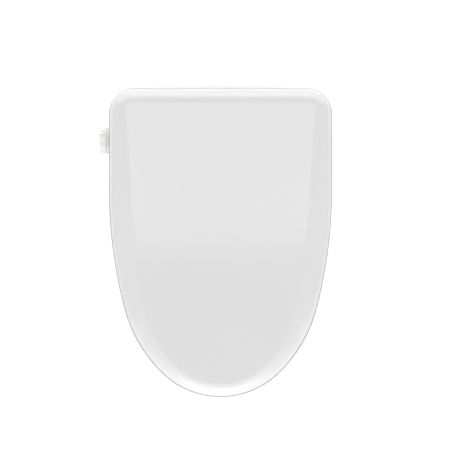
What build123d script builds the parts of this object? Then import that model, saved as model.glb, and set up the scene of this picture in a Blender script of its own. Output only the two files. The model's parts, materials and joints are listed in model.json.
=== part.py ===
"""Electric bidet seat: a full-cover lid, a heated seat ring, a base with the water works, and bowl fixings.

Frame, in millimetres: the origin is midway between the two fixing bolts, on the plane where the mounting
plate lies on the bowl. +Z is up, -Y is the front of the seat, -X is the side of the control knob.
"""

from build123d import *
import os
from math import atan, cos, degrees, hypot, pi, radians, sin, tan

# ---------------------------------------------------------------- driving dimensions
LID_WIDTH = 360
LID_LENGTH = 500
REAR_Y = 50
FRONT_Y = REAR_Y - LID_LENGTH

# Plan outline: tangent arcs from the front tip backwards, then a straight side and a round rear corner
FRONT_R, FRONT_TURN = 135, 43
FLANK_R, FLANK_TURN = 222, 32.5
CORNER_R = 42

# Lid: its rear edge is rolled round the hinge axis
LID_WALL = 3
LID_ROLL_R = 24
HINGE_Y = REAR_Y - LID_ROLL_R
HINGE_Z = 68
TOP_SLOPE_REAR, TOP_SLOPE_FRONT = 1.0, 6.5
TOP_BEND_START, TOP_BEND_END = -60, -250
LID_EDGE_FRONT_Z, LID_EDGE_REAR_Z = 34, 56
LID_EDGE_KINK_Y = -60

# Seat ring
SEAT_INSET = 2
SEAT_WALL = 2.5
SEAT_UNDER_Z = 8
SEAT_TOP_FRONT_Z, SEAT_TOP_REAR_Z = 37, 59
SEAT_EDGE_R, SEAT_LIP_R = 9, 14
SEAT_REAR_Y = -64
BRIDGE_REAR_Y, BRIDGE_FRONT_Y, BRIDGE_UNDER_Z = -52, -106, 46
BRIDGE_HALF, BRIDGE_GAP_HALF = 148, 120
SEAT_FOIL_REAR_Y, FOIL_MARGIN = -122, 18
THERMOSTAT_PLACE, SENSOR_X, SENSOR_Y = (145, -230), (-158, -132), (-260, -180)
BUFFER_PLACES = ((80, -386), (138, -150))
BUFFER_STUD_R, SEAT_BUFFER_R, LID_BUFFER_R = 3.5, 9, 6.5

# Opening in the seat ring: an egg, blunt at the rear
OPENING_FRONT_Y, OPENING_REAR_Y, OPENING_HALF = -386, -98, 114
OPENING_FRONT_R, OPENING_FRONT_TURN, OPENING_REAR_TURN = 74, 45, 50

# Case
CASE_INSET = 4
CASE_WALL = 2.5
CASE_UNDER_Z, CASE_SPLIT_Z = 2, 34
CASE_SIDE_TOP_Z, SHELF_Z, RIDGE_TOP_Z = 55, 44, 48
CASE_FRONT_Y, CASE_REAR_Y = -62, REAR_Y - CASE_INSET
SIDE_BLOCK_X, SIDE_BLOCK_REAR_Y = 150, 5
NOSE_FRONT_Y, NOSE_HALF, NOSE_R = -96, 112, 20
TOWER_HALF, TOWER_TOP_Z, TOWER_EDGE_R = 112, 84, 5
TOWER_FRONT_LOW_Y, TOWER_FRONT_TOP_Y, TOWER_REAR_Y = -49, -44, 5.5
NECK_Z = (60, 81)
LID_SWEEP_R, SWEEP_TURN = 28, 146
SCREW_PLACES = ((104, -46), (104, 2))
SCREW_R, SCREW_HEAD_R, SCREW_HEAD_Z, SCREW_TOP_Z, BOSS_R = 1.75, 3.5, 5, 41, 4.5
FOOT_PLACES = ((135, -48), (-135, -48), (116, 32), (-116, 32))
FOOT_R, FOOT_RECESS_Z = 8, 3.2

# Hinge
SHAFT_R, SHAFT_FLAT, SHAFT_END = 4.5, 3.2, 151.5
RUNNING_GAP = 0.08
BARREL_R = 17.5
DAMPER_R, DAMPER_SPAN, DAMPER_SHAFT_X = 12.5, (58, 110), 92
DAMPER_KEY_HALF, DAMPER_KEY_HEIGHT = 2, 1.2
SEAT_KNUCKLE, SEAT_KNUCKLE_R = (116, 132), 12
LID_KNUCKLE, LID_KNUCKLE_R = (136, 150), 10

# Bowl fixing
BOLT_SPACING = 140
BOLT_R, BOLT_NECK_R, BOLT_THREAD_R = 4, 4.3, 3.6
BOLT_HEAD_R, BOLT_HEAD_Z, BOLT_END_Z = 8, 10.8, -66
CERAMIC_T = 30
PAD_T = 1
PLATE_HALF_X, PLATE_HALF_Y, PLATE_TOP_Z = 90, 30, 5.2
INSERT_R, INSERT_TOP_Z = 11, 7
BUSH_Z, NUT_Z = (-42, -30.5), (-56, -42.2)
TUNNEL_HALF, TUNNEL_FRONT_Y, TUNNEL_TOP_Z = 95, -34, 11.5
RAIL_Z, RAIL_DEPTH, RAIL_START_Y = (2.4, 3.9), 1.5, 1

# Quick-release button, on the +X side
BUTTON_Y, BUTTON_Z, BUTTON_PROUD, BUTTON_TRAVEL = -8, 26, 3.3, 3.2
LATCH_Z, LATCH_HOOK_X, LATCH_POCKET_Z = (6, 10), (85.7, 88.4), 2.2
LATCH_UPRIGHT_X, RIB_X = (163, 169.5), 149.5
LATCH_HALF = 4
SPRING_R, SPRING_WIRE_R, SPRING_TURNS = 3.2, 0.5, 5

# Control knob, on the -X side
KNOB_Y, KNOB_Z, KNOB_R = -34, 29.5, 21.5
BEZEL_X, KNOB_BACK_X, KNOB_FACE_X = -184.6, -184.9, -196
SPIGOT_R = 13.8
GRIP_HALF, SCOOP_DEPTH = 7.5, 6
GROOVE_TURN, EDGE_TURN = 24.4, 17
KNOB_SHAFT_R, KNOB_SHAFT_FLAT = 4, 2.8
VALVE_R, VALVE_X, CAP_END_X = 11.5, (-173.2, -130), -126
ROTOR_R, ROTOR_X = 8.5, (-150, -131)
VALVE_PORT_X, VALVE_PORT_Y = -139, -14
OUTLET_OFFSET = 5

# Water works
NIPPLE_R, NIPPLE_BORE_R = 2.5, 1.4
HOSE_R, HOSE_BORE_R = 3.5, 2.6
INLET_X, INLET_Y, INLET_END_Z = 144, 21, -18
THREAD_R, INLET_NECK_R = 10.48, 9.8
COLD_Y, COLD_Z = 20, 15
SOLENOID_X, SOLENOID_Y, SOLENOID_Z = (129, 159), (7, 34), (8, 22)
SUPPLY_X, SUPPLY_Y, SUPPLY_Z = (116, 158), (-54, -26), (5, 32)
BREAKER_Y, BREAKER_Z, BREAKER_R = -26, (62, 79), 8.5
HEATER_X, HEATER_Y, HEATER_Z, HEATER_R = (36, 102), -20, 66, 12
HEATER_PORTS = (44, 94)

# Electrics
BOARD_X, BOARD_Y, BOARD_Z, BOARD_T = (-104, -40), (-37.5, -1.5), 62, 1.6
BOARD_POST_Y, BOARD_CASE_Z = (-33, -6), (57, 80)
GLAND_X, GLAND_Z, GLAND_BORE_R, GLAND_NECK_R = -118, 24, 3.6, 8

# Wash nozzles: twin tubes that slope down to the front, each moved by a rack and pinion
NOZZLE_X, NOZZLE_R, NOZZLE_LENGTH, TIP_LENGTH = 12, 5.5, 80, 14
NOZZLE_SLOPE = 22
CARRIER_HALF, CARRIER_DROP, CARRIER_FLOOR, CARRIER_RIB_HALF = 18, 3.2, 2.7, 5.6
PINION_TEETH, MODULE, BACKLASH = 12, 1, 0.25
PITCH_X = 20
PINION_X, PINION_Y, PINION_HALF = PITCH_X + MODULE * PINION_TEETH / 2, 15, 2.2
RACK_TIP_X, RACK_HALF, RACK_SPAN = PITCH_X + 0.65 * MODULE, 2.5, (8, 79)
FEED_R, FEED_BORE_R, FEED_STEP_X, FEED_ELBOW_STEP = 2.2, 1.3, 17, 7
PORT_HALF, PORT_Z = 24, (6, 25)
NOZZLE_PLANE = Plane(
    origin=(0, -88, 18), x_dir=(1, 0, 0), z_dir=(0, -sin(radians(NOZZLE_SLOPE)), cos(radians(NOZZLE_SLOPE)))
)
FEED_ELBOW = NOZZLE_PLANE.from_local_coords(Vector(0, NOZZLE_LENGTH + FEED_ELBOW_STEP, 0))

SIT = (Align.CENTER, Align.CENTER, Align.MIN)


# ---------------------------------------------------------------- small helpers
def block(x, y, z):
    """A box between two limits on each axis."""
    centre = [(low + high) / 2 for low, high in (x, y, z)]
    size = [high - low for low, high in (x, y, z)]
    return Pos(*centre) * Box(*size)


def rod(start, end, radius):
    """A round bar between two points."""
    start, end = Vector(*start), Vector(*end)
    return Solid.make_cylinder(radius, (end - start).length, Plane(origin=start, z_dir=end - start))


def side_face(points):
    """A polygon in the YZ plane, from (y, z) points."""
    return Plane.YZ * make_face(Polyline(*points, close=True).edges())


def slab_between(face, low_x, high_x):
    """A YZ face extruded from low_x to high_x."""
    return extrude(Pos(low_x, 0, 0) * face, high_x - low_x, dir=(1, 0, 0))


def both_sides(shape):
    """A shape and its mirror image across the centre plane."""
    return [shape, shape.mirror(Plane.YZ)]


def group(shapes):
    """Several separate solids as one node."""
    return Compound([solid for shape in shapes for solid in shape.solids()])


def polar(centre, radius, angle):
    """The point at an angle from +X, in degrees, on a circle in plan."""
    return centre[0] + radius * cos(radians(angle)), centre[1] + radius * sin(radians(angle))


def arc(centre, radius, start, end):
    """A plan arc between two angles."""
    return ThreePointArc(*(polar(centre, radius, a) for a in (start, (start + end) / 2, end)))


# ---------------------------------------------------------------- plan outlines
def chain_centres():
    """Centres of the front, flank and side arcs, and the side arc's radius, for the right-hand half."""
    front = (0, FRONT_Y + FRONT_R)
    a, b = radians(FRONT_TURN), radians(FRONT_TURN + FLANK_TURN)
    step = FLANK_R - FRONT_R
    flank = (front[0] - step * sin(a), front[1] + step * cos(a))
    side_r = (LID_WIDTH / 2 - flank[0] - FLANK_R * sin(b)) / (1 - sin(b))
    step = side_r - FLANK_R
    side = (flank[0] - step * sin(b), flank[1] + step * cos(b))
    return front, flank, side, side_r


def outline(inset):
    """The lid's plan outline, moved inwards by inset."""
    front, flank, side, side_r = chain_centres()
    turn = FRONT_TURN + FLANK_TURN
    half = LID_WIDTH / 2 - inset
    corner = (LID_WIDTH / 2 - CORNER_R, REAR_Y - CORNER_R)
    right = [
        arc(flank, FLANK_R - inset, FRONT_TURN - 90, turn - 90),
        arc(side, side_r - inset, turn - 90, 0),
        Line((half, side[1]), (half, corner[1])),
        arc(corner, CORNER_R - inset, 0, 90),
    ]
    nose = arc(front, FRONT_R - inset, -90 - FRONT_TURN, -90 + FRONT_TURN)
    back = Line((corner[0], REAR_Y - inset), (-corner[0], REAR_Y - inset))
    left = [edge.mirror(Plane.YZ) for edge in right]
    return make_face([nose, back, *right, *left])


def opening(grow=0):
    """The seat opening's plan outline, moved outwards by grow."""
    a = radians(OPENING_FRONT_TURN)
    front_side_r = (OPENING_HALF - OPENING_FRONT_R * sin(a)) / (1 - sin(a))
    widest_y = OPENING_FRONT_Y + OPENING_FRONT_R * (1 - cos(a)) + front_side_r * cos(a)
    c = radians(OPENING_REAR_TURN)
    depth = OPENING_REAR_Y - widest_y
    # Two tangent arcs that reach the half width and the depth: the blunt end and its shoulder
    span = cos(c) * sin(c) - (1 - sin(c)) * (1 - cos(c))
    rear_r = (OPENING_HALF * cos(c) - depth * (1 - sin(c))) / span
    rear_side_r = (depth * sin(c) - OPENING_HALF * (1 - cos(c))) / span
    front_c = (0, OPENING_FRONT_Y + OPENING_FRONT_R)
    rear_c = (0, OPENING_REAR_Y - rear_r)
    right = [
        arc((OPENING_HALF - front_side_r, widest_y), front_side_r + grow, OPENING_FRONT_TURN - 90, 0),
        arc((OPENING_HALF - rear_side_r, widest_y), rear_side_r + grow, 0, 90 - OPENING_REAR_TURN),
    ]
    left = [edge.mirror(Plane.YZ) for edge in right]
    tip = arc(front_c, OPENING_FRONT_R + grow, -90 - OPENING_FRONT_TURN, -90 + OPENING_FRONT_TURN)
    blunt = arc(rear_c, rear_r + grow, 90 - OPENING_REAR_TURN, 90 + OPENING_REAR_TURN)
    return make_face([tip, blunt, *right, *left])


# ---------------------------------------------------------------- hinge
def hinge_rod(start_x, end_x, radius):
    return rod((start_x, HINGE_Y, HINGE_Z), (end_x, HINGE_Y, HINGE_Z), radius)


def hinge_bore(span, keyed, side):
    """The hole a hinge shaft needs in a knuckle: round, or D-shaped where the shaft drives the knuckle."""
    low, high = sorted((side * (span[0] - 1), side * (span[1] + 1)))
    bore = hinge_rod(low, high, SHAFT_R + RUNNING_GAP)
    if keyed:
        flat_z = HINGE_Z + SHAFT_FLAT + RUNNING_GAP
        bore -= block((low - 1, high + 1), (HINGE_Y - 9, HINGE_Y + 9), (flat_z, flat_z + 9))
    return bore


def hinge_shaft(side, key):
    """A damper's output shaft: round, with a flat where it drives the knuckle that spans key."""
    shaft = hinge_rod(side * DAMPER_SHAFT_X, side * SHAFT_END, SHAFT_R)
    low, high = sorted((side * (key[0] - 1), side * (key[1] + 1)))
    flat_z = HINGE_Z + SHAFT_FLAT
    return shaft - block((low, high), (HINGE_Y - 9, HINGE_Y + 9), (flat_z, flat_z + 9))


def damper_body(side):
    """A sealed rotary damper: a drum with a blind bore for its shaft and a key along its top."""
    near, far = DAMPER_SPAN
    drum = hinge_rod(side * near, side * far, DAMPER_R)
    key_top = HINGE_Z + DAMPER_R + DAMPER_KEY_HEIGHT
    key_y = (HINGE_Y - DAMPER_KEY_HALF, HINGE_Y + DAMPER_KEY_HALF)
    drum += block(sorted((side * near, side * far)), key_y, (HINGE_Z, key_top))
    return drum - hinge_rod(side * (DAMPER_SHAFT_X - 1), side * (far + 1), SHAFT_R + RUNNING_GAP)


# ---------------------------------------------------------------- lid
def lid_top_face(inset):
    """Side view of all below the lid's top line: a gentle slope, a long bend and a steeper front."""
    rear, front = radians(TOP_SLOPE_REAR), radians(TOP_SLOPE_FRONT)
    bend_r = (TOP_BEND_START - TOP_BEND_END) / (sin(front) - sin(rear))
    roll_y = HINGE_Y - LID_ROLL_R * sin(rear)
    roll_z = HINGE_Z + LID_ROLL_R * cos(rear)
    start_z = roll_z - (roll_y - TOP_BEND_START) * tan(rear)
    centre = (TOP_BEND_START + bend_r * sin(rear), start_z - bend_r * cos(rear))
    radius = bend_r - inset

    def on_bend(slope):
        return centre[0] - radius * sin(slope), centre[1] + radius * cos(slope)

    back_y, fore_y = REAR_Y + 30, FRONT_Y - 30
    bend_in, bend_mid, bend_out = on_bend(rear), on_bend((rear + front) / 2), on_bend(front)
    back = (back_y, bend_in[1] + (back_y - bend_in[0]) * tan(rear))
    fore = (fore_y, bend_out[1] - (bend_out[0] - fore_y) * tan(front))
    lines = [
        Line(back, bend_in),
        ThreePointArc(bend_in, bend_mid, bend_out),
        Line(bend_out, fore),
        Polyline(fore, (fore_y, 0), (back_y, 0), back),
    ]
    return Plane.YZ * make_face([edge for line in lines for edge in line.edges()])


def is_upright(edge):
    size = edge.bounding_box().size
    return size.Z > 5 and hypot(size.X, size.Y) < 1e-3


def is_across(edge):
    """True for a seam between the top's faces, which runs right across the lid."""
    size = edge.bounding_box().size
    return size.Y < 1e-3 and size.X > 300 and edge.center().Y < 0


def lid_form(inset):
    """The lid's solid form, moved inwards by inset, with its rolled edge."""
    body = extrude(outline(inset), 130) & slab_between(lid_top_face(inset), -LID_WIDTH, LID_WIDTH)
    rim = [e for e in body.edges() if e.center().Z > 30 and not is_across(e) and not is_upright(e)]
    return fillet(rim, LID_ROLL_R - inset)


def below_lid_edge():
    """Everything below the lid's lower edge, which drops towards the front."""
    far_y = FRONT_Y - 30
    slope = (LID_EDGE_REAR_Z - LID_EDGE_FRONT_Z) / (LID_EDGE_KINK_Y - FRONT_Y)
    corners = [
        (REAR_Y + 30, -10),
        (REAR_Y + 30, LID_EDGE_REAR_Z),
        (LID_EDGE_KINK_Y, LID_EDGE_REAR_Z),
        (far_y, LID_EDGE_FRONT_Z - 30 * slope),
        (far_y, -10),
    ]
    return slab_between(side_face(corners), -LID_WIDTH, LID_WIDTH)


def lid_shell():
    outer = lid_form(0)
    shell = outer - lid_form(LID_WALL)
    low, high = LID_KNUCKLE
    ear = hinge_rod(low, high, LID_KNUCKLE_R)
    ear_y = (HINGE_Y - LID_KNUCKLE_R, HINGE_Y + LID_KNUCKLE_R)
    ear += block((low, high), ear_y, (HINGE_Z, HINGE_Z + LID_ROLL_R))
    for item in both_sides(ear & outer):
        shell += item
    shell -= below_lid_edge()
    shell -= hinge_bore(LID_KNUCKLE, False, -1)
    return shell - hinge_bore(LID_KNUCKLE, True, 1)


def lid_bumpers():
    """Four rubber buffers inside the lid, just clear of the seat ring."""
    inside, seat = lid_form(LID_WALL), under_seat_top(-0.3)
    pads = [(rod((x, y, 20), (x, y, 100), LID_BUFFER_R) - seat) & inside for x, y in BUFFER_PLACES]
    return group([item for pad in pads for item in both_sides(pad)])


# ---------------------------------------------------------------- seat ring
def seat_top_z(y):
    share = (y - FRONT_Y) / (LID_EDGE_KINK_Y - FRONT_Y)
    return SEAT_TOP_FRONT_Z + share * (SEAT_TOP_REAR_Z - SEAT_TOP_FRONT_Z)


def under_seat_top(drop):
    """Everything below the seat's sloping top plane, lowered by drop."""
    rear, front, low = 0, FRONT_Y - 20, -20
    top = [(rear, seat_top_z(rear) - drop), (front, seat_top_z(front) - drop)]
    return slab_between(side_face([(rear, low), *top, (front, low)]), -LID_WIDTH, LID_WIDTH)


def seat_form(inset, under_z):
    """The seat ring and its rear bridge as a solid, moved inwards by inset, with crowned top edges."""
    plan = outline(SEAT_INSET + inset) - opening(inset)
    plan &= Pos(0, BRIDGE_REAR_Y - inset - 250) * Rectangle(500, 500)
    body = extrude(Pos(0, 0, under_z) * plan, 120) & under_seat_top(inset)
    outer, lip = [], []
    for edge in body.edges():
        spot = edge.position_at(0.5)
        if abs(spot.Z - seat_top_z(spot.Y) + inset) > 0.01 or edge.bounding_box().size.Y < 1e-3:
            continue
        at_opening = abs(spot.X) < OPENING_HALF + inset + 1 and OPENING_FRONT_Y - inset - 1 < spot.Y
        (lip if at_opening else outer).append(edge)
    body = fillet(outer, SEAT_EDGE_R - inset)
    spots = [edge.position_at(0.5) for edge in lip]
    lip = [e for e in body.edges() if any((e.position_at(0.5) - spot).length < 0.01 for spot in spots)]
    body = fillet(lip, SEAT_LIP_R - inset)
    gap = BRIDGE_GAP_HALF + inset
    body -= block((-gap, gap), (BRIDGE_FRONT_Y - inset, 0), (-50, BRIDGE_UNDER_Z + inset))
    corner = block((BRIDGE_HALF - inset, 200), (SEAT_REAR_Y - inset, 0), (-50, 100))
    under = block((gap, 200), (SEAT_REAR_Y - inset, 0), (-50, BRIDGE_UNDER_Z + inset))
    for item in (*both_sides(corner), *both_sides(under)):
        body -= item
    return body


def seat_arm():
    """The bar from the ring's rear bridge back to a hinge knuckle."""
    low, high = SEAT_KNUCKLE
    front_y = BRIDGE_REAR_Y - 1
    profile = [
        (front_y, BRIDGE_UNDER_Z + 0.5),
        (HINGE_Y, HINGE_Z - SEAT_KNUCKLE_R),
        (HINGE_Y, HINGE_Z + SEAT_KNUCKLE_R),
        (front_y, seat_top_z(front_y) - 0.5),
    ]
    return slab_between(side_face(profile), low, high) + hinge_rod(low, high, SEAT_KNUCKLE_R)


def seat_ring_top():
    shell = seat_form(0, SEAT_UNDER_Z) - seat_form(SEAT_WALL, SEAT_UNDER_Z - 1)
    for arm in both_sides(seat_arm()):
        shell += arm
    shell -= hinge_bore(SEAT_KNUCKLE, True, -1)
    return shell - hinge_bore(SEAT_KNUCKLE, False, 1)


def seat_ring_bottom():
    everywhere = (-LID_WIDTH, LID_WIDTH)
    floor = block(everywhere, (FRONT_Y, 0), (SEAT_UNDER_Z, SEAT_UNDER_Z + SEAT_WALL))
    floor &= seat_form(SEAT_WALL + 0.1, SEAT_UNDER_Z)
    for x, y in BUFFER_PLACES:
        for side in (-1, 1):
            floor -= rod((side * x, y, 0), (side * x, y, 20), BUFFER_STUD_R + 0.1)
    return floor


def seat_bumpers():
    """Four rubber feet under the ring, which stand on the bowl's rim."""
    feet = []
    for x, y in BUFFER_PLACES:
        foot = rod((x, y, 0), (x, y, SEAT_UNDER_Z), SEAT_BUFFER_R)
        foot += rod((x, y, SEAT_UNDER_Z), (x, y, SEAT_UNDER_Z + SEAT_WALL), BUFFER_STUD_R)
        feet += both_sides(foot)
    return group(feet)


def under_seat_skin(depth, thickness):
    """A layer parallel to the seat's top plane, from depth below it."""
    return under_seat_top(depth) - under_seat_top(depth + thickness)


def seat_heater():
    """The heating foil, on the inside of the ring's flat top."""
    band = outline(SEAT_INSET + FOIL_MARGIN) - opening(FOIL_MARGIN)
    band &= Pos(0, SEAT_FOIL_REAR_Y - 250) * Rectangle(500, 500)
    return extrude(band, 100) & under_seat_skin(SEAT_WALL + 0.1, 0.5)


def seat_thermostat():
    x, y = THERMOSTAT_PLACE
    return rod((x, y, 0), (x, y, 100), 8) & under_seat_skin(SEAT_WALL + 0.7, 5)


def occupancy_sensor():
    return block(SENSOR_X, SENSOR_Y, (0, 100)) & under_seat_skin(SEAT_WALL + 0.7, 1.5)


# ---------------------------------------------------------------- base shells
def case_plan(inset):
    """Plan of the case: the lid's rear outline cut off in front, and a narrower nose."""
    front_y = CASE_FRONT_Y + inset
    plan = outline(CASE_INSET + inset) & Pos(0, front_y + 100) * Rectangle(400, 200)
    nose_y, back_y = NOSE_FRONT_Y + inset, CASE_FRONT_Y + 30
    nose = RectangleRounded(2 * (NOSE_HALF - inset), back_y - nose_y, NOSE_R - inset)
    return plan + Pos(0, (nose_y + back_y) / 2) * nose


def tower_form(inset):
    """The tall middle of the case, which stands under the lid between the seat's arms."""
    top = TOWER_TOP_Z - inset
    profile = [
        (TOWER_FRONT_LOW_Y + inset, SHELF_Z - 20),
        (TOWER_FRONT_LOW_Y + inset, SHELF_Z),
        (TOWER_FRONT_TOP_Y + inset, top),
        (TOWER_REAR_Y - inset, top),
        (TOWER_REAR_Y - inset, SHELF_Z - 20),
    ]
    body = slab_between(side_face(profile), -TOWER_HALF + inset, TOWER_HALF - inset)
    if inset:
        return body
    return fillet([e for e in body.edges() if e.center().Z > top - 1], TOWER_EDGE_R)


def lid_sweep(inset):
    """The room that the lid's rear edge needs as it turns down round the hinge."""
    radius = LID_SWEEP_R + inset
    end = -SWEEP_TURN - degrees(2 * inset / LID_SWEEP_R)
    fan = [(HINGE_Y, HINGE_Z)] + [polar((HINGE_Y, HINGE_Z), 80, a) for a in (30, -20, -65, -110, end)]
    disc = hinge_rod(-LID_WIDTH, LID_WIDTH, radius)
    span = TOWER_HALF - inset
    middle = disc & slab_between(side_face(fan), -span, span)
    return middle, disc - block((-span, span), (-100, 100), (0, 200))


def case_form(inset):
    """The whole case as a solid, moved inwards by inset."""
    floor_z, plan = CASE_UNDER_Z + inset, case_plan(inset)
    body = extrude(Pos(0, 0, floor_z) * plan, SHELF_Z - inset - floor_z)
    tall = extrude(Pos(0, 0, floor_z) * plan, CASE_SIDE_TOP_Z - inset - floor_z)
    side = block((SIDE_BLOCK_X + inset, 200), (-100, SIDE_BLOCK_REAR_Y - inset), (0, 100))
    for item in both_sides(side & tall):
        body += item
    body += tower_form(inset)
    if not inset:
        body += tall & block((-200, 200), (CASE_REAR_Y - 6, CASE_REAR_Y), (0, RIDGE_TOP_Z))
    for item in lid_sweep(inset):
        body -= item
    return body


def case_shell():
    return case_form(0) - case_form(CASE_WALL)


def screw_bosses(low_z, tops):
    """Round posts for the casing screws, from low_z up to each post's own top."""
    posts = []
    for (x, y), top in zip(SCREW_PLACES, tops):
        posts += both_sides(rod((x, y, low_z), (x, y, top), BOSS_R))
    return posts


def screw_holes():
    holes = []
    for x, y in SCREW_PLACES:
        hole = rod((x, y, CASE_UNDER_Z - 1), (x, y, SCREW_TOP_Z + 0.5), SCREW_R + 0.05)
        hole += rod((x, y, CASE_UNDER_Z - 1), (x, y, SCREW_HEAD_Z), SCREW_HEAD_R + 0.3)
        holes += both_sides(hole)
    return holes


def base_tray():
    """The case's lower shell, with the tunnel that slides over the mounting plate."""
    everywhere = (-LID_WIDTH, LID_WIDTH)
    shell = case_shell() & block(everywhere, (-200, 200), (0, CASE_SPLIT_Z))
    wall = TUNNEL_HALF + CASE_WALL
    tunnel = block((-wall, wall), (TUNNEL_FRONT_Y - CASE_WALL, 60), (0, TUNNEL_TOP_Z + CASE_WALL))
    shell += tunnel & case_form(0)
    shell -= block((-TUNNEL_HALF, TUNNEL_HALF), (TUNNEL_FRONT_Y, 60), (0, TUNNEL_TOP_Z))
    for side, front_y in ((-1, TUNNEL_FRONT_Y), (1, RAIL_START_Y)):
        rail = sorted((side * (PLATE_HALF_X - RAIL_DEPTH + 0.3), side * (TUNNEL_HALF + 1)))
        shell += block(rail, (front_y, PLATE_HALF_Y), RAIL_Z)
    floor_z = CASE_UNDER_Z + 0.5
    for item in screw_bosses(floor_z, (CASE_SPLIT_Z, CASE_SPLIT_Z)) + [latch_rib(), carrier_posts()]:
        shell += item
    cuts = screw_holes() + [knob_hole(), button_hole(), latch_slot()]
    cuts += [inlet_hole(), gland_hole(), port_hole(0.1)]
    cuts += [rod((x, y, 0), (x, y, FOOT_RECESS_Z), FOOT_R + 0.1) for x, y in FOOT_PLACES]
    for item in cuts:
        shell -= item
    return shell


def housing_cover():
    """The case's upper shell, with the barrel that holds the two hinge dampers."""
    everywhere = (-LID_WIDTH, LID_WIDTH)
    shell = case_shell() & block(everywhere, (-200, 200), (CASE_SPLIT_Z, 120))
    shell += block((-TOWER_HALF, TOWER_HALF), (TOWER_REAR_Y - 2, HINGE_Y - BARREL_R + 3), NECK_Z)
    shell += hinge_rod(-TOWER_HALF, TOWER_HALF, BARREL_R)
    for item in screw_bosses(CASE_SPLIT_Z, (SHELF_Z - 1, SCREW_TOP_Z + 8)):
        shell += item
    near, far = DAMPER_SPAN
    for side in (-1, 1):
        low, high = sorted((side * (near - 0.2), side * (TOWER_HALF + 1)))
        shell -= hinge_rod(low, high, DAMPER_R + 0.15)
        key_y = (HINGE_Y - DAMPER_KEY_HALF - 0.1, HINGE_Y + DAMPER_KEY_HALF + 0.1)
        shell -= block((low, high), key_y, (HINGE_Z, HINGE_Z + DAMPER_R + DAMPER_KEY_HEIGHT + 0.2))
    for item in screw_holes() + [knob_hole()]:
        shell -= item
    return shell


def casing_screws():
    screws = []
    for x, y in SCREW_PLACES:
        head = rod((x, y, SCREW_HEAD_Z - 2.4), (x, y, SCREW_HEAD_Z), SCREW_HEAD_R)
        head -= Pos(x, y, SCREW_HEAD_Z - 2.4) * Box(4, 1, 2) + Pos(x, y, SCREW_HEAD_Z - 2.4) * Box(1, 4, 2)
        screws += both_sides(head + rod((x, y, SCREW_HEAD_Z), (x, y, SCREW_TOP_Z), SCREW_R))
    return group(screws)


def base_feet():
    feet = [rod((x, y, 0), (x, y, FOOT_RECESS_Z), FOOT_R) for x, y in FOOT_PLACES]
    return group(feet)


# ---------------------------------------------------------------- bowl fixing
def mounting_plate():
    """The flat plate bolted to the bowl, with a groove in each side for the tray's rails."""
    x, y = PLATE_HALF_X, PLATE_HALF_Y
    plate = extrude(Pos(0, 0, PAD_T) * RectangleRounded(2 * x, 2 * y, 6), PLATE_TOP_Z - PAD_T)
    groove_z = (RAIL_Z[0] - 0.3, RAIL_Z[1] + 0.3)
    for item in both_sides(block((x - RAIL_DEPTH, x + 1), (-y - 1, y + 1), groove_z)):
        plate -= item
    for side in (-1, 1):
        plate -= Pos(side * BOLT_SPACING / 2, 0, 0) * Cylinder(INSERT_R + 0.1, 20)
    low, high = LATCH_HOOK_X
    plate -= block((low - BUTTON_TRAVEL - 0.5, high + 0.1), (-y - 1, BUTTON_Y + 6), (LATCH_POCKET_Z, 10))
    tab_y = (BUTTON_Y - 12, BUTTON_Y - 6)
    return plate + block((low - 0.2, high + 0.2), tab_y, (LATCH_POCKET_Z, PLATE_TOP_Z))


def plate_pad():
    x, y = PLATE_HALF_X - 12, PLATE_HALF_Y - 1
    pad = extrude(RectangleRounded(2 * x, 2 * y, 6), PAD_T)
    for side in (-1, 1):
        pad -= Pos(side * BOLT_SPACING / 2, 0, 0) * Cylinder(7, 10)
    return pad


def bolt_inserts():
    """Two flanged discs that turn in the plate to set the bolts' places."""
    discs = []
    for side in (-1, 1):
        x = side * BOLT_SPACING / 2
        disc = rod((x, 0, PAD_T), (x, 0, PLATE_TOP_Z), INSERT_R)
        disc += rod((x, 0, PLATE_TOP_Z), (x, 0, INSERT_TOP_Z), INSERT_R + 1.5)
        discs.append(disc - rod((x, 0, 0), (x, 0, 20), BOLT_NECK_R + 0.1))
    return group(discs)


def fixing_bolts():
    """Two M8 bolts: a head, a neck in the insert, a plain shank through the bowl and a thread below it."""
    bolts = []
    for side in (-1, 1):
        x = side * BOLT_SPACING / 2
        bolt = rod((x, 0, BOLT_END_Z), (x, 0, -CERAMIC_T), BOLT_THREAD_R)
        bolt += rod((x, 0, -CERAMIC_T), (x, 0, 0), BOLT_R)
        bolt += rod((x, 0, 0), (x, 0, INSERT_TOP_Z), BOLT_NECK_R)
        head = rod((x, 0, INSERT_TOP_Z), (x, 0, BOLT_HEAD_Z), BOLT_HEAD_R)
        bolts.append(bolt + head - Pos(x, 0, BOLT_HEAD_Z) * Box(10, 1.6, 2.4))
    return group(bolts)


def bolt_bushes():
    """Rubber cones that centre the bolts in the bowl's holes from below."""
    bushes = []
    for side in (-1, 1):
        bush = Pos(side * BOLT_SPACING / 2, 0, BUSH_Z[0]) * Cone(13, 8.5, BUSH_Z[1] - BUSH_Z[0], align=SIT)
        bushes.append(bush - Pos(side * BOLT_SPACING / 2, 0, -40) * Cylinder(BOLT_THREAD_R + 0.3, 60))
    return group(bushes)


def wing_nuts():
    nuts = []
    low, high = NUT_Z
    for side in (-1, 1):
        x = side * BOLT_SPACING / 2
        nut = rod((x, 0, low), (x, 0, high), 7.5) + rod((x, 0, high - 2), (x, 0, high), 12)
        for reach in (-1, 1):
            wing = Pos(x + reach * 11, 0, (low + high) / 2 - 2) * Box(10, 3, high - low - 4)
            nut += fillet(wing.edges().filter_by(Axis.Y), 2.5)
        nuts.append(nut - rod((x, 0, low - 1), (x, 0, high + 1), BOLT_THREAD_R + 0.05))
    return group(nuts)


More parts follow.
